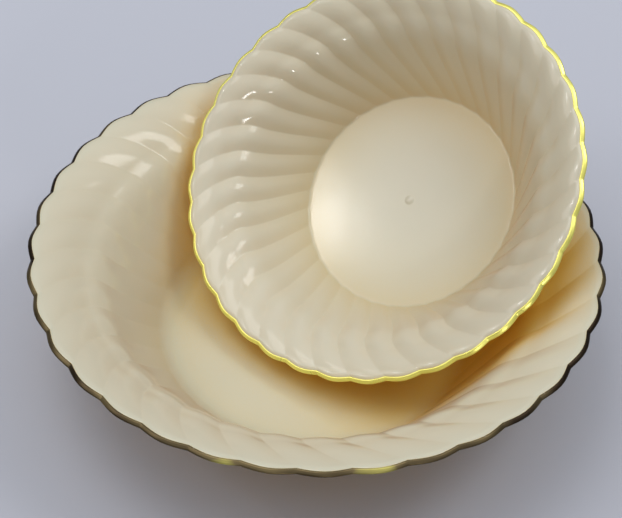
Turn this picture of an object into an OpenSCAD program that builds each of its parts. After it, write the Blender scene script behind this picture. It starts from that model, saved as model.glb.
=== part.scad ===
// Two swirl fluted bowls with gilt edges: a large bowl standing on its foot ring,
// and a smaller bowl of the same design that leans in it, open to the front.
// Millimetres, +Z up. The origin is the middle of the large bowl's foot, on the
// surface that it stands on. The small bowl faces -Y and its back rests toward +Y.

/* [Large bowl] */
// Diameter over the lobes of the rim
large_d = 178; // [160:1:200]
// Depth from the rim down to the floor inside
large_depth = 40.5; // [34:0.5:46]
// Diameter of the flat floor
large_floor_d = 97; // [90:1:104]
// Diameter at the shoulder, where the wall turns out into the brim
large_shoulder_d = 137; // [130:1:144]
// Height from the shoulder up to the rim
large_brim_rise = 11.5; // [9:0.5:14]

/* [Small bowl] */
// Diameter over the lobes of the rim
small_d = 134; // [126:1:140]
// Depth from the rim down to the floor inside
small_depth = 32.5; // [28:0.5:36]
// Diameter of the flat floor
small_floor_d = 73; // [69:0.5:77]
// Diameter at the shoulder, where the wall turns out into the brim
small_shoulder_d = 103; // [99:0.5:107]
// Height from the shoulder up to the rim
small_brim_rise = 7.5; // [5:0.5:10]

/* [Flutes] */
// Number of flutes round each bowl
flutes = 36; // [24:1:40]
// Height of a flute's crown over its creases at the shoulder of the large bowl
large_flute_depth = 1.5; // [0.8:0.1:2]
// Height of a flute's crown over its creases at the shoulder of the small bowl
small_flute_depth = 1.2; // [0.6:0.1:1.6]
// How far the creases notch the rim inwards
notch_depth = 1.4; // [0.6:0.1:2]
// How much higher a lobe of the rim stands than its notches
lobe_rise = 0.6; // [0:0.1:1.2]
// Turn of the flutes across the brim, in degrees
brim_swirl = 10; // [0:0.5:16]
// Turn of the flutes down the wall, in degrees
wall_swirl = 14; // [0:0.5:20]

/* [Shell] */
// Thickness of the walls and floors
wall = 1.2; // [0.9:0.1:1.6]
// Height of the foot ring under each floor
foot_h = 0.8; // [0.5:0.1:1.5]
// Width of the foot ring
foot_w = 1.6; // [1:0.1:2.5]
// Length of the round corner between floor and wall
floor_round = 2.2; // [1:0.1:4]
// Length of the round corner at the shoulder
shoulder_round = 5; // [2:0.5:8]

/* [Gilt edge] */
// Width of the bevelled lip that carries the gilt band
lip_w = 1.5; // [1:0.1:2.2]
// Thickness of the lip
lip_t = 1.6; // [1.3:0.1:2]
// Thickness of the gilt band
gilt_t = 0.2; // [0.15:0.05:0.4]

/* [Lean] */
// Angle that the small bowl is tipped forward from level, in degrees
lean = 38.3; // [32:0.1:42]
// Turn of the large bowl's notches about its axis, in degrees
large_turn = 6.5; // [0:0.1:10]
// Turn of the small bowl's notches about its own axis, in degrees
small_turn = 6.3; // [0:0.1:10]
// Gap left where the small bowl meets the large one
seat_gap = 0.15; // [0.05:0.05:0.3]

/* [Hidden] */

ivory = [0.88, 0.84, 0.72];
gold = [0.93, 0.78, 0.22];

// Points on a flute from crease to crease, inside the bowls and under them
inner_steps = 4;
outer_steps = 2;
// The crown of a flute is lower at the floor than at the shoulder, by this share
floor_crown = 0.6;
// The brim curves up over a straight line by this share of its width
brim_bow = 0.05;
// The bevel of the lip takes this share of its thickness
bevel_share = 0.6;
// How fast the swirl grows from the shoulder to the rim, and from there to the floor
brim_swirl_power = 1.3;
wall_swirl_power = 1.55;
// Points along each part of the small bowl's underside that are tested as it is seated,
// and the smallest step by which it is slid there
seat_samples = 3;
smallest_step = 0.01;

// A bowl is a list of its own sizes, read with these names
large = [large_d / 2, large_depth, large_floor_d / 2, large_shoulder_d / 2,
         large_brim_rise, large_flute_depth, large_turn];
small = [small_d / 2, small_depth, small_floor_d / 2, small_shoulder_d / 2,
         small_brim_rise, small_flute_depth, small_turn];
function rim_r(b) = b[0] - gilt_t;
function depth(b) = b[1];
function floor_r(b) = b[2];
function shoulder_r(b) = b[3];
function brim_rise(b) = b[4];
function flute_depth(b) = b[5];
function turn(b) = b[6];

function floor_z() = foot_h + wall;
function rim_z(b) = floor_z() + depth(b);
function shoulder_z(b) = rim_z(b) - brim_rise(b);

// Points and directions in a bowl's section, as [radius, height]
function unit(v) = v / norm(v);
function left_of(v) = [-v[1], v[0]];
function toward(a, b, length) = a + unit(b - a) * length;
function between(a, b, share) = a + (b - a) * share;
function corner_mid(a, corner, b) = between(between(a, b, 0.5), corner, 0.5);
function last(list) = list[len(list) - 1];

// The section along a crease, from the floor to the lip
function lip_r(b) = rim_r(b) - notch_depth - lip_w;
function section(b) =
    let (foot = [floor_r(b), floor_z()],
         flat = foot - [floor_round, 0],
         knee = [shoulder_r(b), shoulder_z(b)],
         lip = [lip_r(b), rim_z(b) - lobe_rise],
         low = toward(foot, knee, floor_round),
         high = toward(knee, foot, shoulder_round),
         out = toward(knee, lip, shoulder_round),
         bow = [0, (rim_r(b) - shoulder_r(b)) * brim_bow])
    [flat,
     corner_mid(flat, foot, low),
     low,
     between(low, high, 1 / 3),
     between(low, high, 2 / 3),
     high,
     corner_mid(high, knee, out),
     out,
     between(out, lip, 0.5) + bow,
     lip];

// The share of the wall's height that is below a point, and of the brim that is inside it
function share_of(x, start, end) = max(0, min(1, (x - start) / (end - start)));
function wall_share(b, p) = share_of(p[1], floor_z(), shoulder_z(b));
function brim_share(b, p) = share_of(p[0], shoulder_r(b), lip_r(b));

// The upward normal of the section at point i
function normal(s, i) =
    unit(left_of(s[min(i + 1, len(s) - 1)] - s[max(i - 1, 0)]));

// How far the crown of a flute stands off its crease, as [radius, height]: along the
// normal on the wall and the inner brim, then outwards and up in the lobes of the rim
function crown(b, s, i) =
    let (height = flute_depth(b) * between(floor_crown, 1, wall_share(b, s[i])),
         lobe = [notch_depth, lobe_rise])
    i == 0 ? [-height, 0] : between(normal(s, i) * height, lobe, pow(brim_share(b, s[i]), 2));

// The turn of the creases at a point, measured from the notches of the rim
function swirl(b, p) =
    -brim_swirl * (1 - pow(brim_share(b, p), brim_swirl_power))
    - wall_swirl * pow(1 - wall_share(b, p), wall_swirl_power);

// A station is a place on the crease, the crown's offset there and the swirl
function inner_station(b, s, i) = [s[i], crown(b, s, i), swirl(b, s[i])];
function outer_station(b, s, i) =
    [s[i] - normal(s, i) * wall, crown(b, s, i), swirl(b, s[i])];
function inner_stations(b) =
    let (s = section(b))
    [for (i = [0 : len(s) - 1]) inner_station(b, s, i)];
function lip_edge(b) =
    let (lip = last(inner_stations(b)))
    [lip[0] + [lip_w, -lip_t * bevel_share], lip[1], lip[2]];
function under_lip(b) =
    let (lip = last(inner_stations(b)))
    [lip[0] + [lip_w / 2, -lip_t], lip[1], lip[2]];

// The same station on the face of the gilt band
function gilded(b, station) =
    let (slope = lip_edge(b)[0] - last(inner_stations(b))[0])
    [station[0] + unit(left_of(slope)) * gilt_t, station[1], station[2]];

function under_stations(b) =
    let (s = section(b),
         skirt = outer_station(b, s, 2)[0],
         still = [0, 0],
         low_turn = swirl(b, s[0]))
    [under_lip(b),
     for (i = [8, 7, 5, 4, 3]) outer_station(b, s, i),
     [skirt, crown(b, s, 2), swirl(b, s[2])],
     [[floor_r(b), 0], still, low_turn],
     [[floor_r(b) - foot_w, 0], still, low_turn],
     [[floor_r(b) - foot_w - foot_h / 2, foot_h], still, low_turn]];

// A flute is a shallow arc: 0 at its creases, 1 at its crown
function arc(p) = 1 - pow(2 * p - 1, 2);

// The ring of points at a station, with so many steps to a flute
function ring(b, station, steps) =
    [for (i = [0 : flutes * steps - 1])
        let (w = arc((i % steps) / steps),
             place = station[0] + station[1] * w,
             angle = turn(b) + station[2] + i * 360 / (flutes * steps))
        [place[0] * cos(angle), place[0] * sin(angle), place[1]]];

// Triangles of the band between a ring of n points at index a and the next at index c,
// seen from above where the second ring is the wider one
function band(a, c, n) =
    [for (i = [0 : n - 1])
        let (j = (i + 1) % n)
        each [[a + i, c + j, c + i], [a + i, a + j, c + j]]];

// The same, where the second ring has only every k-th point
function halving_band(a, c, n, k) =
    [for (g = [0 : n / k - 1])
        let (h = (g + 1) % (n / k))
        each concat(
            [for (m = [0 : k / 2 - 1]) [a + g * k + m, a + g * k + m + 1, c + g]],
            [[a + g * k + k / 2, c + h, c + g]],
            [for (m = [k / 2 : k - 1]) [a + g * k + m, a + (g * k + m + 1) % n, c + h]])];

// Triangles of a disc from its hub to a ring
function disc(hub, a, n) =
    [for (i = [0 : n - 1]) [hub, a + (i + 1) % n, a + i]];

function turned_over(faces) = [for (f = faces) [f[0], f[2], f[1]]];

// The whole skin of a bowl as one closed solid
module bowl_shell(b) {
    inside = concat(inner_stations(b), [lip_edge(b)]);
    under = under_stations(b);
    n = flutes * inner_steps;
    m = flutes * outer_steps;
    inside_points = [for (s = inside) each ring(b, s, inner_steps)];
    under_points = [for (s = under) each ring(b, s, outer_steps)];
    first_under = len(inside_points);
    top_hub = first_under + len(under_points);
    points = concat(inside_points, under_points, [[0, 0, floor_z()], [0, 0, foot_h]]);
    faces = concat(
        disc(top_hub, 0, n),
        [for (k = [0 : len(inside) - 2]) each band(k * n, (k + 1) * n, n)],
        halving_band((len(inside) - 1) * n, first_under, n, inner_steps / outer_steps),
        [for (k = [0 : len(under) - 2])
            each band(first_under + k * m, first_under + (k + 1) * m, m)],
        turned_over(disc(top_hub + 1, first_under + (len(under) - 1) * m, m)));
    polyhedron(points, faces, convexity = 6);
}

// The gilt band: a thin strip that lies on the bevel of the lip
module gilt_strip(b) {
    lip = last(inner_stations(b));
    edge = lip_edge(b);
    n = flutes * inner_steps;
    strip = [lip, edge, gilded(b, edge), gilded(b, lip)];
    points = [for (s = strip) each ring(b, s, inner_steps)];
    faces = [for (k = [0 : 3]) each turned_over(band(k * n, (k + 1) % len(strip) * n, n))];
    polyhedron(points, faces, convexity = 6);
}

// Where the small bowl rests. It is tipped forward by the lean, its foot stands on the
// large bowl's floor, and it is slid back until its underside meets the wall.
function tipped(p) =
    [p[0], p[1] * cos(lean) - p[2] * sin(lean), p[1] * sin(lean) + p[2] * cos(lean)];

// Points along the creases and crowns of the small bowl's edge and underside, tipped
small_under_stations = concat([gilded(small, lip_edge(small))], under_stations(small));
small_under_rings = [for (s = small_under_stations) ring(small, s, outer_steps)];
small_under =
    [for (k = [0 : len(small_under_rings) - 2])
        for (sample = [0 : seat_samples])
            for (i = [0 : flutes * outer_steps - 1])
                let (outer = small_under_rings[k][i],
                     inner = small_under_rings[k + 1][i])
                tipped(between(outer, inner, sample / seat_samples))];
floor_seat_z = floor_z() + seat_gap - min([for (p = small_under) p[2]]);

// The inside of the large bowl: radius, crown and swirl against height
large_inside = inner_stations(large);
large_radius = [for (s = large_inside) [s[0][1], s[0][0]]];
large_crown_out = [for (s = large_inside) [s[0][1], s[1][0]]];
large_crown_up = [for (s = large_inside) [s[0][1], s[1][1]]];
large_swirl = [for (s = large_inside) [s[0][1], s[2]]];
large_top = rim_z(large) + gilt_t + seat_gap;
function fraction(x) = x - floor(x);
function large_inside_r(height, angle) =
    let (place = (angle - turn(large) - lookup(height, large_swirl)) * flutes / 360,
         w = arc(fraction(place)),
         crease_z = height - w * lookup(height, large_crown_up))
    lookup(crease_z, large_radius) + w * lookup(crease_z, large_crown_out);

// Half the width of the large bowl's inside, front to back through a point at a lift, on
// the side of y that is given, and far below 0 where the point is beside the bowl
function half_chord(p, lift, side) =
    let (z = p[2] + floor_seat_z + lift,
         rough = large_inside_r(z, side * 90),
         y = side * sqrt(max(0, rough * rough - p[0] * p[0])),
         r = large_inside_r(z, atan2(y, p[0])) - seat_gap)
    r > abs(p[0]) ? sqrt(r * r - p[0] * p[0]) : -large_d;

// The room to slide at a lift, from the least slide to the furthest one
function low_points(lift) = [for (p = small_under) if (p[2] + floor_seat_z + lift < large_top) p];
function room(lift) =
    let (points = low_points(lift))
    [max([for (p = points) -half_chord(p, lift, -1) - p[1]]),
     min([for (p = points) half_chord(p, lift, 1) - p[1]])];

// A small bowl that is too wide to reach the floor is lifted until its sides have room
function fits(lift) = room(lift)[1] - room(lift)[0] > large_flute_depth;
function least_lift(high, step) =
    step < seat_gap
        ? high
        : least_lift(fits(high - step) ? high - step : high, step / 2);
seat_lift = fits(0) ? 0 : least_lift(rim_z(large), rim_z(large) / 2);
seat_z = floor_seat_z + seat_lift;

// The furthest slide that keeps every point off the flutes, found by halving the step
resting = low_points(seat_lift);
function clears(slide) =
    len([for (p = resting)
        let (y = p[1] + slide,
             reach = large_inside_r(p[2] + seat_z, atan2(y, p[0])) - seat_gap)
        if (norm([p[0], y]) > reach) 1]) == 0;
function furthest_slide(start, step) =
    step < smallest_step
        ? start
        : furthest_slide(clears(start + step) ? start + step : start, step / 2);
seat_y = furthest_slide(room(seat_lift)[1] - large_flute_depth, large_flute_depth);

module seated() {
    translate([0, seat_y, seat_z])
        rotate([lean, 0, 0])
            children();
}

module large_bowl() {
    color(ivory)
        bowl_shell(large);
}

module large_bowl_gilt_edge() {
    color(gold)
        gilt_strip(large);
}

module small_bowl() {
    color(ivory)
        seated()
            bowl_shell(small);
}

module small_bowl_gilt_edge() {
    color(gold)
        seated()
            gilt_strip(small);
}

large_bowl();
large_bowl_gilt_edge();
small_bowl();
small_bowl_gilt_edge();
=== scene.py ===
"""Dresses a pair of swirl fluted bowls with gilt edges: a large bowl, and a smaller bowl
of the same design that leans in it. Each bowl is one thin moulding whose section is spun
round its axis, then fluted and swirled, and each gilt edge is foil pressed on its lip."""

import math

import bmesh
import bpy
from bpy.props import FloatProperty, FloatVectorProperty, IntProperty, PointerProperty
from mathutils import Matrix, Vector


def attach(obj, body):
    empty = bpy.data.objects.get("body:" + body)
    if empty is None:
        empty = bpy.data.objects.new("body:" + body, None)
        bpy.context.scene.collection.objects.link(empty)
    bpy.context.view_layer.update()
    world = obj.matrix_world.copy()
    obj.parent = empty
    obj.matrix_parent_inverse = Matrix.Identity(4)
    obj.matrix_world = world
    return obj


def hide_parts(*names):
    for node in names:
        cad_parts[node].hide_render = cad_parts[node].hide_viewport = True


bl_info = {
    "name": "Fluted Bowls",
    "version": (1, 0, 0),
    "blender": (4, 5, 0),
    "location": "3D View > Sidebar > Fluted Bowls",
    "description": "Makes a pair of fluted plastic bowls with gilt edges",
    "category": "Add Mesh",
}

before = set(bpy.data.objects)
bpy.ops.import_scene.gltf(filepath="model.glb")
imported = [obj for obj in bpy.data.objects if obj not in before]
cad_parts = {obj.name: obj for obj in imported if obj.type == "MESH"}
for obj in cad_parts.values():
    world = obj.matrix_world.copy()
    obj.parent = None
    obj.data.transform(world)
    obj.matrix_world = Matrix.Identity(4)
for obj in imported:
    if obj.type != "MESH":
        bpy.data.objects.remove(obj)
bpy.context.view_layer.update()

# Width of the photograph's frame, in pixels
PHOTO_WIDTH = 622

# Steps of a full spin inside each flute, and how much they crowd toward its creases
FLUTE_STEPS = 12
CROWDING = 0.62
# How far a flute's arc is eased at its creases
NOTCH_ROUNDING = 0.35

# Steps along the parts of the section
ROUND_STEPS = 8
WALL_STEPS = 9
BRIM_STEPS = 9

# How fast the swirl grows from the shoulder to the rim, and from there to the floor
BRIM_SWIRL_POWER = 1.3
WALL_SWIRL_POWER = 1.55

# The crown of a flute is lower at the floor than at the shoulder, by this share
FLOOR_CROWN = 0.22
# How late the crowns of the flutes give way to the lobes of the rim
BRIM_FADE = 2.5
# The brim curves up over a straight line by this share of its width
BRIM_BOW = 0.05
# The small mark that moulding leaves on the middle of a floor, as radius and height
GATE = (
    (0.0, 0.0003), (0.0006, 0.00028), (0.0011, 0.00018), (0.0015, 0.00003), (0.0017, 0.0),
    (0.0019, 0.0), (0.0024, 0.0))
# Where the rings of a floor lie, as shares of its radius
FLOOR_RINGS = (0.15, 0.3, 0.5, 0.7, 0.85, 0.93, 0.97)
# The bevel of the lip takes this share of its thickness
BEVEL_SHARE = 0.6

# Where the corners of the lip lie: shares of the bevel, of its edge and of its underside
LIP_BEVEL_POINTS = (0.12, 0.4)
LIP_EDGE_START = 0.72
LIP_EDGE_END = 0.6
LIP_EDGE_STEPS = 5
# How far the foil stands out of the lip and reaches into it, as shares of its thickness
FOIL_OUT = 0.8
FOIL_IN = 0.5
# The foot ring's corners are taken off by this much
FOOT_ROUND = 0.0003
# Points of a mesh that lie closer than this are merged
MERGE_DISTANCE = 1e-6

# Scales of the plastic's clouding, of its haze and of the ripple in its gloss
CLOUD_SCALE = 22.0
HAZE_SCALE = 60.0
RIPPLE_SCALE = 320.0
RIPPLE_HEIGHT = 0.0003
PLASTIC_IOR = 1.52
# The part of the light that comes through a wall
GLOW_SHARE = 0.32
# Walls closer than this get a painted warm shade, between these shares of open sky
PAINTED_SHADE_REACH = 0.03
PAINTED_SHADE_FROM = 0.32
PAINTED_SHADE_TO = 0.85

# Scales of the stamping's unevenness, and of the glints painted on the dark foil
STAMPING_SCALE = 160.0
GLINT_SCALE = 45.0
# The side of the large rim where glints are painted on the foil as gold spots
GLINT_SIDE = math.radians(68.0)

# Light is painted on the table, paler toward the back, along this direction
PAINTED_LIGHT_TURN = math.radians(-129.0)
TABLE_SIZE = 2.0

# The photograph's camera: place in metres, turn in degrees, lens in millimetres and the
# shift of its picture in pixels
CAMERA_PLACE = (0.2005, -0.2503, 0.3576)
CAMERA_TURN = (44.8, -1.725, 40.089)
CAMERA_LENS = 84.4
CAMERA_SHIFT = (-12.1, -0.7)

# The lights stand round this point, at this distance
LIT_POINT = (-0.02, 0.04, 0.02)
LIGHT_DISTANCE = 1.2
# Each light's name, bearing and height in degrees, size in metres and power in watts
LIGHTS = (
    ("left_softbox", 215, 72, (0.6, 0.6), 3.0),
    ("right_softbox", 40, 56, (0.4, 0.4), 2.8),
    ("low_softbox", 320, 17.5, (0.08, 0.08), 1.1),
    ("gloss_strip", 229.8, 44.9, (0.10, 0.06), 0.32),
    ("wide_softbox", 232, 42, (0.44, 0.44), 1.3),
)
# Strength of the room's own light
ROOM_LIGHT = 1.2

MM = 0.001


def length(name, description, default):
    """A length in metres, given here in millimetres."""
    return FloatProperty(
        name=name, description=description, default=default * MM,
        min=0.0, unit="LENGTH", subtype="DISTANCE", precision=5)


def share(name, description, default):
    """A share from 0 to 1."""
    return FloatProperty(
        name=name, description=description, default=default,
        min=0.0, max=1.0, subtype="FACTOR")


class LargeBowlSizes(bpy.types.PropertyGroup):
    """Sizes of the large bowl."""

    diameter: length("Diameter", "Diameter over the lobes of the rim", 178.0)
    depth: length("Depth", "From the rim down to the floor inside", 40.5)
    floor_diameter: length("Floor", "Diameter of the flat floor", 97.0)
    shoulder_diameter: length("Shoulder", "Diameter where the wall turns out", 137.0)
    brim_rise: length("Brim rise", "Height from the shoulder to the rim", 11.5)
    floor_round: length("Floor corner", "Length of the corner at the floor", 5.0)
    flute_depth: length("Flute depth", "A flute's crown over its lowest creases", 1.5)
    fill: share("Crease fill", "How far the creases of the wall are filled up", 0.6)
    rim_fill: share("Rim fill", "How far the notches of the rim are filled up", 0.12)
    turn: FloatProperty(
        name="Turn", description="Turn of the notches about the axis",
        default=math.radians(6.5), subtype="ANGLE")


class SmallBowlSizes(bpy.types.PropertyGroup):
    """Sizes of the small bowl, and how it leans."""

    diameter: length("Diameter", "Diameter over the lobes of the rim", 134.0)
    depth: length("Depth", "From the rim down to the floor inside", 32.5)
    floor_diameter: length("Floor", "Diameter of the flat floor", 73.0)
    shoulder_diameter: length("Shoulder", "Diameter where the wall turns out", 103.0)
    brim_rise: length("Brim rise", "Height from the shoulder to the rim", 7.5)
    floor_round: length("Floor corner", "Length of the corner at the floor", 0.6)
    flute_depth: length("Flute depth", "A flute's crown over its lowest creases", 1.2)
    fill: share("Crease fill", "How far the creases of the wall are filled up", 0.1)
    rim_fill: share("Rim fill", "How far the notches of the rim are filled up", 0.4)
    turn: FloatProperty(
        name="Turn", description="Turn of the notches about the axis",
        default=math.radians(6.3), subtype="ANGLE")
    lean: FloatProperty(
        name="Lean", description="Angle that the bowl is tipped forward",
        default=math.radians(38.3), subtype="ANGLE")
    seat_y: length("Seat back", "How far back the foot's middle lies", 49.3519)
    seat_z: length("Seat height", "How high the foot's middle lies", 24.7537)


class FluteSizes(bpy.types.PropertyGroup):
    """The flutes and the shell, the same on both bowls."""

    count: IntProperty(name="Flutes", description="Flutes round a bowl", default=36, min=8)
    notch_depth: length("Notch", "How far the creases notch the rim", 1.4)
    lobe_rise: length("Lobe rise", "How much higher a lobe stands than its notches", 0.6)
    brim_swirl: FloatProperty(
        name="Brim swirl", description="Turn of the flutes across the brim",
        default=math.radians(10.0), subtype="ANGLE")
    wall_swirl: FloatProperty(
        name="Wall swirl", description="Turn of the flutes down the wall",
        default=math.radians(14.0), subtype="ANGLE")
    wall: length("Wall", "Thickness of the walls and floors", 1.2)
    foot_height: length("Foot height", "Height of the ring under a floor", 0.8)
    foot_width: length("Foot width", "Width of the ring under a floor", 1.6)
    shoulder_round: length("Shoulder corner", "Length of the corner at the shoulder", 5.0)
    lip_width: length("Lip width", "Width of the bevelled lip", 1.5)
    lip_thickness: length("Lip thickness", "Thickness of the lip", 1.6)
    gilt_thickness: length("Gilt thickness", "Thickness of the gilt edge", 0.2)


class FinishSettings(bpy.types.PropertyGroup):
    """Colours of the plastic and of the foil."""

    ivory: FloatVectorProperty(
        name="Ivory", description="Colour of the plastic", subtype="COLOR",
        default=(0.77, 0.815, 0.66), min=0.0, max=1.0)
    glow: FloatVectorProperty(
        name="Glow", description="Colour of the light that comes through a wall",
        subtype="COLOR", default=(1.0, 0.66, 0.20), min=0.0, max=1.0)
    # Colour of the warm shade that is painted where walls stand close
    depth: FloatVectorProperty(
        name="Depth", description="Colour of the plastic where walls stand close",
        subtype="COLOR", default=(0.86, 0.62, 0.08), min=0.0, max=1.0)
    gold: FloatVectorProperty(
        name="Gold", description="Colour of the foil", subtype="COLOR",
        default=(1.0, 0.93, 0.22), min=0.0, max=1.0)
    floor: FloatVectorProperty(
        name="Floor", description="Colour of the table", subtype="COLOR",
        default=(0.485, 0.50, 0.565), min=0.0, max=1.0)


def share_of(x, start, end):
    """How far x is from start to end, from 0 to 1."""
    return max(0.0, min(1.0, (x - start) / (end - start)))


def curve(start, corner, end, steps):
    """Points of a round corner, without its last point."""
    points = []
    for i in range(steps):
        t = i / steps
        points.append(start * (1 - t) ** 2 + corner * (2 * t * (1 - t)) + end * t * t)
    return points


class Section:
    """The section of a bowl along a crease, and how its flutes leave the crease."""

    def __init__(self, bowl, flutes):
        self.bowl = bowl
        self.flutes = flutes
        self.floor_z = flutes.foot_height + flutes.wall
        self.rim_z = self.floor_z + bowl.depth
        self.shoulder_z = self.rim_z - bowl.brim_rise
        self.rim_r = bowl.diameter / 2 - flutes.gilt_thickness
        self.lip_r = self.rim_r - flutes.notch_depth - flutes.lip_width
        self.foot = Vector((bowl.floor_diameter / 2, self.floor_z))
        self.knee = Vector((bowl.shoulder_diameter / 2, self.shoulder_z))
        self.lip = Vector((self.lip_r, self.rim_z - flutes.lobe_rise))

    def path(self):
        """Points along the crease, from the edge of the floor to the lip."""
        rise = (self.knee - self.foot).normalized()
        reach = (self.lip - self.knee).normalized()
        flat = self.foot - Vector((self.bowl.floor_round, 0.0))
        low = self.foot + rise * self.bowl.floor_round
        high = self.knee - rise * self.flutes.shoulder_round
        out = self.knee + reach * self.flutes.shoulder_round
        bow = Vector((0.0, (self.rim_r - self.knee.x) * BRIM_BOW * 2))
        points = curve(flat, self.foot, low, ROUND_STEPS)
        points += curve(low, (low + high) / 2, high, WALL_STEPS)
        points += curve(high, self.knee, out, ROUND_STEPS)
        points += curve(out, (out + self.lip) / 2 + bow, self.lip, BRIM_STEPS)
        return points + [self.lip]

    def wall_share(self, point):
        return share_of(point.y, self.floor_z, self.shoulder_z)

    def brim_share(self, point):
        return share_of(point.x, self.knee.x, self.lip_r)

    def swirl(self, point):
        """Turn of the creases, measured from the notches of the rim."""
        brim = 1 - self.brim_share(point) ** BRIM_SWIRL_POWER
        wall = (1 - self.wall_share(point)) ** WALL_SWIRL_POWER
        return -self.flutes.brim_swirl * brim - self.flutes.wall_swirl * wall

    def crown(self, point, normal):
        """Offset of a flute's crown from its crease."""
        wall = self.wall_share(point)
        height = self.bowl.flute_depth * (FLOOR_CROWN + (1 - FLOOR_CROWN) * wall)
        lobe = Vector((self.flutes.notch_depth, self.flutes.lobe_rise))
        stand = Vector((-height, 0.0)).lerp(normal * height, wall)
        return stand.lerp(lobe, self.brim_share(point) ** BRIM_FADE)

    def filled(self, point):
        """How far the creases are filled up at a point."""
        along = self.brim_share(point)
        return self.bowl.fill * (1 - along) + self.bowl.rim_fill * along


def normals_of(points):
    """The upward normal of the path at each point."""
    normals = []
    for i in range(len(points)):
        along = points[min(i + 1, len(points) - 1)] - points[max(i - 1, 0)]
        normals.append(Vector((-along.y, along.x)).normalized())
    return normals


class Station:
    """A point of a profile with the flute's offset and swirl there."""

    def __init__(self, point, crown, swirl):
        self.point = point
        self.crown = crown
        self.swirl = swirl

    def moved(self, offset):
        return Station(self.point + offset, self.crown, self.swirl)


def lip_stations(section, lip):
    """The rounded bevel and nose of the lip, from its top to its underside."""
    width = section.flutes.lip_width
    thick = section.flutes.lip_thickness
    top = Vector((0.0, 0.0))
    edge = Vector((width, -thick * BEVEL_SHARE))
    under = Vector((width / 2, -thick))
    before_edge = top.lerp(edge, LIP_EDGE_START)
    after_edge = edge.lerp(under, LIP_EDGE_END)
    offsets = [top.lerp(edge, t) for t in LIP_BEVEL_POINTS]
    offsets += curve(before_edge, edge, after_edge, LIP_EDGE_STEPS) + [after_edge, under]
    return [lip.moved(offset) for offset in offsets]


def inner_stations(section):
    """The upper side of a bowl, from the edge of its floor to its lip."""
    stations = []
    points = section.path()
    for point, normal in zip(points, normals_of(points)):
        crown = section.crown(point, normal)
        fill = section.filled(point)
        stations.append(Station(point + crown * fill, crown * (1 - fill), section.swirl(point)))
    return stations


def shell_stations(section):
    """The whole profile of a bowl's shell, from its hub inside to its hub beneath."""
    flutes = section.flutes
    inner = inner_stations(section)
    normals = normals_of([s.point for s in inner])
    outer = [s.moved(-n * flutes.wall) for s, n in zip(inner, normals)]
    still = Vector((0.0, 0.0))
    swirl = inner[0].swirl
    hub = Vector((0.0, section.floor_z))
    gate = [Vector((r, section.floor_z + up)) for r, up in GATE]
    floor = [Station(point, still, swirl) for point in gate]
    floor += [Station(hub.lerp(inner[0].point, t), still, swirl) for t in FLOOR_RINGS]
    under = outer[ROUND_STEPS:-1][::-1]
    foot_r = section.foot.x
    ring_r = foot_r - flutes.foot_width
    ring = [
        (foot_r, FOOT_ROUND),
        (foot_r - FOOT_ROUND, 0.0),
        (ring_r + FOOT_ROUND, 0.0),
        (ring_r, FOOT_ROUND),
        (ring_r - flutes.foot_height / 2, flutes.foot_height),
        (foot_r * 0.5, flutes.foot_height),
        (0.0, flutes.foot_height)]
    beneath = [Station(Vector(point), still, swirl) for point in ring]
    return floor + inner + lip_stations(section, inner[-1]) + under + beneath


def gilt_stations(section):
    """The closed profile of the foil: over the bevel, round the nose and back beneath."""
    track = lip_stations(section, inner_stations(section)[-1])[:-1]
    facing = normals_of([s.point for s in track])
    thick = section.flutes.gilt_thickness
    over = [s.moved(n * thick * FOIL_OUT) for s, n in zip(track, facing)]
    beneath = [s.moved(-n * thick * FOIL_IN) for s, n in zip(track, facing)]
    return over + beneath[::-1]


def spun(stations, flutes, turn, closed):
    """Spins a profile round the axis, then flutes and swirls it."""
    bm = bmesh.new()
    layer = bm.verts.layers.int.new("station")
    row = []
    for index, station in enumerate(stations):
        vert = bm.verts.new((station.point.x, 0.0, station.point.y))
        vert[layer] = index
        row.append(vert)
    pairs = list(zip(row, row[1:]))
    if closed:
        pairs.append((row[-1], row[0]))
    edges = [bm.edges.new(pair) for pair in pairs]
    steps = flutes.count * FLUTE_STEPS
    bmesh.ops.spin(
        bm, geom=row + edges, cent=(0, 0, 0), axis=(0, 0, 1), angle=math.tau,
        steps=steps, use_merge=True)
    for vert in bm.verts:
        flute(vert, stations[vert[layer]], flutes.count, turn, steps)
    bmesh.ops.remove_doubles(bm, verts=bm.verts, dist=MERGE_DISTANCE)
    bmesh.ops.recalc_face_normals(bm, faces=bm.faces)
    for face in bm.faces:
        face.smooth = True
    return bm


def flute(vert, station, count, turn, steps):
    """Moves a spun point out to its flute's arc and round by the swirl."""
    step = round(math.atan2(vert.co.y, vert.co.x) / math.tau * steps) % steps
    place, inside = divmod(step, FLUTE_STEPS)
    across = inside / FLUTE_STEPS
    across -= CROWDING * math.sin(math.tau * across) / math.tau
    arc = 1 - (2 * across - 1) ** 2
    arc += NOTCH_ROUNDING * (math.sin(math.pi * across) ** 2 - arc)
    at = station.point + station.crown * arc
    angle = turn + station.swirl + math.tau * (place + across) / count
    vert.co = (at.x * math.cos(angle), at.x * math.sin(angle), at.y)


def finished(bm, name, node, material):
    """Turns a bmesh into the piece that stands for a CAD node."""
    mesh = bpy.data.meshes.new(name)
    bm.to_mesh(mesh)
    bm.free()
    piece = bpy.data.objects.new(name, mesh)
    bpy.context.scene.collection.objects.link(piece)
    mesh.materials.append(material)
    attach(piece, "root")
    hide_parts(node)


def seat(bm, small):
    """Tips the small bowl forward and moves it to where it rests."""
    place = Matrix.Translation((0.0, small.seat_y, small.seat_z))
    bmesh.ops.transform(bm, matrix=place @ Matrix.Rotation(small.lean, 4, "X"), verts=bm.verts)


def new_material(name):
    """A new material, with its nodes, its links and its Principled shader."""
    material = bpy.data.materials.new(name)
    material.use_nodes = True
    nodes = material.node_tree.nodes
    return material, nodes, material.node_tree.links, nodes["Principled BSDF"]


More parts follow.
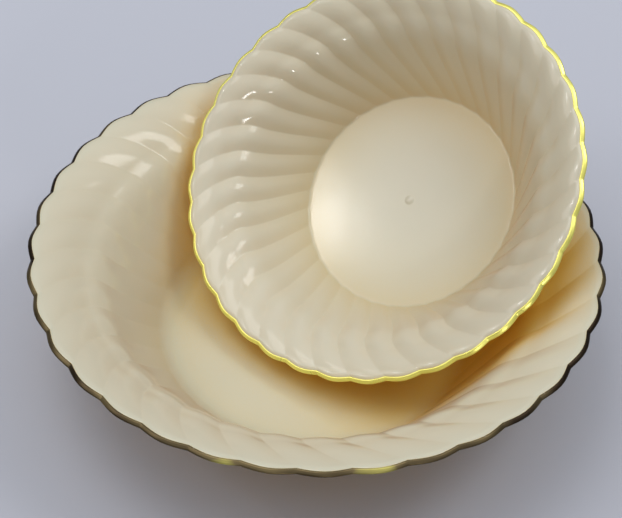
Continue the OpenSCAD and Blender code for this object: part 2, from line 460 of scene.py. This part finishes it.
def noise(nodes, links, coords, scale, detail):
    """A noise texture on the piece's own coordinates."""
    texture = nodes.new("ShaderNodeTexNoise")
    texture.inputs["Scale"].default_value = scale
    texture.inputs["Detail"].default_value = detail
    links.new(coords.outputs["Object"], texture.inputs["Vector"])
    return texture


def spread(nodes, links, source, low, high):
    """Maps a noise from its middle range to a range of values."""
    node = nodes.new("ShaderNodeMapRange")
    node.inputs["From Min"].default_value = 0.3
    node.inputs["From Max"].default_value = 0.7
    node.inputs["To Min"].default_value = low
    node.inputs["To Max"].default_value = high
    links.new(source, node.inputs["Value"])
    return node


def ivory_plastic(finish):
    """Glossy ivory plastic that lets some light in, its gloss faintly rippled."""
    if "moulded_ivory" in bpy.data.materials:
        return bpy.data.materials["moulded_ivory"]
    material, nodes, links, shader = new_material("moulded_ivory")
    coords = nodes.new("ShaderNodeTexCoord")
    cloud = noise(nodes, links, coords, CLOUD_SCALE, 3.0)
    ramp = nodes.new("ShaderNodeValToRGB")
    ivory = Vector(finish.ivory)
    ramp.color_ramp.elements[0].position = 0.3
    ramp.color_ramp.elements[1].position = 0.7
    ramp.color_ramp.elements[0].color = (*(ivory * 0.97), 1.0)
    ramp.color_ramp.elements[1].color = (*(ivory * 1.02), 1.0)
    links.new(cloud.outputs["Fac"], ramp.inputs["Fac"])
    # A warm shade is painted into the colour where walls stand close
    links.new(painted_gap_shade(nodes, links, ramp.outputs["Color"], finish), shader.inputs["Base Color"])
    haze = noise(nodes, links, coords, HAZE_SCALE, 2.0)
    gloss = spread(nodes, links, haze.outputs["Fac"], 0.10, 0.15)
    links.new(gloss.outputs["Result"], shader.inputs["Roughness"])
    ripple = noise(nodes, links, coords, RIPPLE_SCALE, 2.0)
    bump = nodes.new("ShaderNodeBump")
    bump.inputs["Strength"].default_value = 0.05
    bump.inputs["Distance"].default_value = RIPPLE_HEIGHT
    links.new(ripple.outputs["Fac"], bump.inputs["Height"])
    links.new(bump.outputs["Normal"], shader.inputs["Normal"])
    shader.inputs["IOR"].default_value = PLASTIC_IOR
    let_light_through(nodes, links, shader, finish)
    return material


def painted_gap_shade(nodes, links, color, finish):
    """Paints a warm, deep shade into the colour where walls stand close."""
    openness = nodes.new("ShaderNodeAmbientOcclusion")
    openness.samples = 4
    openness.inputs["Distance"].default_value = PAINTED_SHADE_REACH
    unshaded_share = nodes.new("ShaderNodeMapRange")
    unshaded_share.inputs["From Min"].default_value = PAINTED_SHADE_FROM
    unshaded_share.inputs["From Max"].default_value = PAINTED_SHADE_TO
    links.new(openness.outputs["AO"], unshaded_share.inputs["Value"])
    mix = nodes.new("ShaderNodeMix")
    mix.data_type = "RGBA"
    mix.inputs[6].default_value = (*finish.depth, 1.0)
    links.new(unshaded_share.outputs["Result"], mix.inputs["Factor"])
    links.new(color, mix.inputs[7])
    return mix.outputs[2]


def let_light_through(nodes, links, shader, finish):
    """Lets a warm part of the light through the thin wall."""
    through = nodes.new("ShaderNodeBsdfTranslucent")
    through.inputs["Color"].default_value = (*finish.glow, 1.0)
    mix = nodes.new("ShaderNodeMixShader")
    mix.inputs["Fac"].default_value = GLOW_SHARE
    links.new(shader.outputs["BSDF"], mix.inputs[1])
    links.new(through.outputs["BSDF"], mix.inputs[2])
    links.new(mix.outputs["Shader"], nodes["Material Output"].inputs["Surface"])


def bright_gilt(finish):
    """Bright lemon gold foil, a little uneven from its stamping."""
    material, nodes, links, shader = new_material("bright_gilt")
    coords = nodes.new("ShaderNodeTexCoord")
    wear = noise(nodes, links, coords, STAMPING_SCALE, 4.0)
    ramp = nodes.new("ShaderNodeValToRGB")
    gold = Vector(finish.gold)
    ramp.color_ramp.elements[0].position = 0.3
    ramp.color_ramp.elements[1].position = 0.7
    ramp.color_ramp.elements[0].color = (*(gold * 0.9), 1.0)
    ramp.color_ramp.elements[1].color = (*gold, 1.0)
    links.new(wear.outputs["Fac"], ramp.inputs["Fac"])
    links.new(ramp.outputs["Color"], shader.inputs["Base Color"])
    gloss = spread(nodes, links, wear.outputs["Fac"], 0.26, 0.38)
    links.new(gloss.outputs["Result"], shader.inputs["Roughness"])
    shader.inputs["Metallic"].default_value = 0.6
    return material


def dark_gilt_painted_glints(finish):
    """Dark brown foil with glints painted on as gold spots, most of them on its front."""
    material, nodes, links, shader = new_material("dark_gilt_painted_glints")
    coords = nodes.new("ShaderNodeTexCoord")
    turned = nodes.new("ShaderNodeMapping")
    turned.inputs["Rotation"].default_value[2] = GLINT_SIDE
    links.new(coords.outputs["Object"], turned.inputs["Vector"])
    side = nodes.new("ShaderNodeSeparateXYZ")
    links.new(turned.outputs["Vector"], side.inputs["Vector"])
    # Painted glints: more gold spots on this side of the rim
    glint_side = nodes.new("ShaderNodeMapRange")
    glint_side.inputs["From Min"].default_value = 0.03
    glint_side.inputs["From Max"].default_value = 0.09
    glint_side.inputs["To Min"].default_value = 0.0
    glint_side.inputs["To Max"].default_value = 0.16
    links.new(side.outputs["X"], glint_side.inputs["Value"])
    glint_spots = noise(nodes, links, coords, GLINT_SCALE, 2.0)
    both = nodes.new("ShaderNodeMath")
    both.operation = "ADD"
    links.new(glint_side.outputs["Result"], both.inputs[0])
    links.new(glint_spots.outputs["Fac"], both.inputs[1])
    ramp = nodes.new("ShaderNodeValToRGB")
    ramp.color_ramp.elements[0].position = 0.5
    ramp.color_ramp.elements[1].position = 0.82
    middle = ramp.color_ramp.elements.new(0.7)
    middle.color = (0.20, 0.15, 0.07, 1.0)
    ramp.color_ramp.elements[0].color = (0.035, 0.022, 0.012, 1.0)
    ramp.color_ramp.elements[2].color = (*(Vector(finish.gold) * 0.9), 1.0)
    links.new(both.outputs["Value"], ramp.inputs["Fac"])
    links.new(ramp.outputs["Color"], shader.inputs["Base Color"])
    gloss = spread(nodes, links, glint_spots.outputs["Fac"], 0.3, 0.45)
    links.new(gloss.outputs["Result"], shader.inputs["Roughness"])
    shader.inputs["Metallic"].default_value = 0.85
    return material


def table_top(finish):
    """A pale, plain table top with light painted on it, paler toward the back."""
    material, nodes, links, shader = new_material("table_top")
    coords = nodes.new("ShaderNodeTexCoord")
    turned = nodes.new("ShaderNodeMapping")
    turned.inputs["Rotation"].default_value[2] = PAINTED_LIGHT_TURN
    links.new(coords.outputs["Object"], turned.inputs["Vector"])
    depth = nodes.new("ShaderNodeSeparateXYZ")
    links.new(turned.outputs["Vector"], depth.inputs["Vector"])
    # Painted light: the table's tone grows paler toward the back
    painted_light_fade = nodes.new("ShaderNodeMapRange")
    painted_light_fade.inputs["From Min"].default_value = -0.15
    painted_light_fade.inputs["From Max"].default_value = 0.25
    links.new(depth.outputs["X"], painted_light_fade.inputs["Value"])
    ramp = nodes.new("ShaderNodeValToRGB")
    tone = Vector(finish.floor)
    ramp.color_ramp.elements[0].color = (*(tone * 0.85), 1.0)
    ramp.color_ramp.elements[1].color = (*(tone * 1.15), 1.0)
    links.new(painted_light_fade.outputs["Result"], ramp.inputs["Fac"])
    links.new(ramp.outputs["Color"], shader.inputs["Base Color"])
    shader.inputs["Roughness"].default_value = 0.6
    return material


def area_light(name, azimuth, elevation, size, power):
    """A soft light that looks at the bowls, its bearing and height in degrees."""
    light = bpy.data.lights.new(name, "AREA")
    light.shape = "RECTANGLE"
    light.size, light.size_y = size
    light.energy = power
    light.color = (1.0, 0.99, 0.97)
    turn, rise = math.radians(azimuth), math.radians(elevation)
    away = Vector((
        math.cos(rise) * math.cos(turn), math.cos(rise) * math.sin(turn), math.sin(rise)))
    lamp = bpy.data.objects.new(name, light)
    lamp.location = Vector(LIT_POINT) + away * LIGHT_DISTANCE
    lamp.rotation_euler = away.to_track_quat("Z", "Y").to_euler()
    bpy.context.scene.collection.objects.link(lamp)


def make_camera():
    """Makes the camera at the photograph's viewing angle."""
    data = bpy.data.cameras.new("camera")
    data.sensor_width = 36.0
    data.lens = CAMERA_LENS
    data.shift_x = CAMERA_SHIFT[0] / PHOTO_WIDTH
    data.shift_y = CAMERA_SHIFT[1] / PHOTO_WIDTH
    data.clip_start = 0.02
    camera = bpy.data.objects.new("camera", data)
    camera.location = CAMERA_PLACE
    camera.rotation_euler = [math.radians(angle) for angle in CAMERA_TURN]
    bpy.context.scene.collection.objects.link(camera)
    bpy.context.scene.camera = camera


def make_floor(material):
    """Makes the plain table that the bowls stand on."""
    bm = bmesh.new()
    bmesh.ops.create_grid(bm, x_segments=8, y_segments=8, size=TABLE_SIZE)
    mesh = bpy.data.meshes.new("table")
    bm.to_mesh(mesh)
    bm.free()
    mesh.materials.append(material)
    table = bpy.data.objects.new("table", mesh)
    bpy.context.scene.collection.objects.link(table)


def make_world():
    """Makes the room's even light, brighter from above."""
    world = bpy.data.worlds.new("soft_room")
    world.use_nodes = True
    nodes = world.node_tree.nodes
    links = world.node_tree.links
    coords = nodes.new("ShaderNodeTexCoord")
    height = nodes.new("ShaderNodeSeparateXYZ")
    ramp = nodes.new("ShaderNodeValToRGB")
    ramp.color_ramp.elements[0].position = 0.45
    ramp.color_ramp.elements[1].position = 1.0
    ramp.color_ramp.elements[0].color = (0.06, 0.065, 0.07, 1.0)
    ramp.color_ramp.elements[1].color = (0.92, 0.95, 1.0, 1.0)
    links.new(coords.outputs["Generated"], height.inputs["Vector"])
    links.new(height.outputs["Z"], ramp.inputs["Fac"])
    links.new(ramp.outputs["Color"], nodes["Background"].inputs["Color"])
    nodes["Background"].inputs["Strength"].default_value = ROOM_LIGHT
    bpy.context.scene.world = world
    bpy.context.scene.view_settings.view_transform = "Standard"


class MakeLargeBowl(bpy.types.Operator):
    """Makes the large bowl's shell and puts it in place of its solid"""

    bl_idname = "fluted_bowls.large_bowl"
    bl_label = "Large bowl"

    def execute(self, context):
        scene = context.scene
        section = Section(scene.large_bowl, scene.flutes)
        bm = spun(shell_stations(section), scene.flutes, scene.large_bowl.turn, False)
        finished(
            bm, "large_bowl_shell", "large_bowl",
            ivory_plastic(scene.bowl_finish))
        return {"FINISHED"}


class MakeSmallBowl(bpy.types.Operator):
    """Makes the small bowl's shell, leaning in the large one"""

    bl_idname = "fluted_bowls.small_bowl"
    bl_label = "Small bowl"

    def execute(self, context):
        scene = context.scene
        section = Section(scene.small_bowl, scene.flutes)
        bm = spun(shell_stations(section), scene.flutes, scene.small_bowl.turn, False)
        seat(bm, scene.small_bowl)
        finished(
            bm, "small_bowl_shell", "small_bowl",
            ivory_plastic(scene.bowl_finish))
        return {"FINISHED"}


class MakeGiltEdges(bpy.types.Operator):
    """Presses the gilt foil on the lips of both bowls"""

    bl_idname = "fluted_bowls.gilt_edges"
    bl_label = "Gilt edges"

    def execute(self, context):
        scene = context.scene
        for which, sizes, gilt in (
                ("large", scene.large_bowl, dark_gilt_painted_glints),
                ("small", scene.small_bowl, bright_gilt)):
            stations = gilt_stations(Section(sizes, scene.flutes))
            bm = spun(stations, scene.flutes, sizes.turn, True)
            if which == "small":
                seat(bm, sizes)
            finished(
                bm, which + "_bowl_gilt_foil", which + "_bowl_gilt_edge",
                gilt(scene.bowl_finish))
        return {"FINISHED"}


class MakeStage(bpy.types.Operator):
    """Makes the table, the soft lights and the camera"""

    bl_idname = "fluted_bowls.stage"
    bl_label = "Stage"

    def execute(self, context):
        make_camera()
        make_world()
        make_floor(table_top(context.scene.bowl_finish))
        for light in LIGHTS:
            area_light(*light)
        return {"FINISHED"}


class FlutedBowlsPanel(bpy.types.Panel):
    """Sizes, colours and the steps that make the bowls"""

    bl_idname = "VIEW3D_PT_fluted_bowls"
    bl_label = "Fluted Bowls"
    bl_space_type = "VIEW_3D"
    bl_region_type = "UI"
    bl_category = "Fluted Bowls"

    def draw(self, context):
        layout = self.layout
        for group in ("large_bowl", "small_bowl", "flutes", "bowl_finish"):
            box = layout.box()
            settings = getattr(context.scene, group)
            box.label(text=group.replace("_", " ").capitalize())
            for key in settings.__annotations__:
                box.prop(settings, key)
        for operator in OPERATORS:
            layout.operator(operator.bl_idname)


OPERATORS = (MakeLargeBowl, MakeSmallBowl, MakeGiltEdges, MakeStage)
GROUPS = {
    "large_bowl": LargeBowlSizes,
    "small_bowl": SmallBowlSizes,
    "flutes": FluteSizes,
    "bowl_finish": FinishSettings,
}


def register():
    for group in GROUPS.values():
        bpy.utils.register_class(group)
    for operator in OPERATORS:
        bpy.utils.register_class(operator)
    bpy.utils.register_class(FlutedBowlsPanel)
    for name, group in GROUPS.items():
        setattr(bpy.types.Scene, name, PointerProperty(type=group))


def unregister():
    for name in GROUPS:
        delattr(bpy.types.Scene, name)
    bpy.utils.unregister_class(FlutedBowlsPanel)
    for operator in reversed(OPERATORS):
        bpy.utils.unregister_class(operator)
    for group in reversed(list(GROUPS.values())):
        bpy.utils.unregister_class(group)


def main():
    register()
    bpy.ops.fluted_bowls.large_bowl()
    bpy.ops.fluted_bowls.small_bowl()
    bpy.ops.fluted_bowls.gilt_edges()
    bpy.ops.fluted_bowls.stage()


if __name__ == "__main__":
    main()
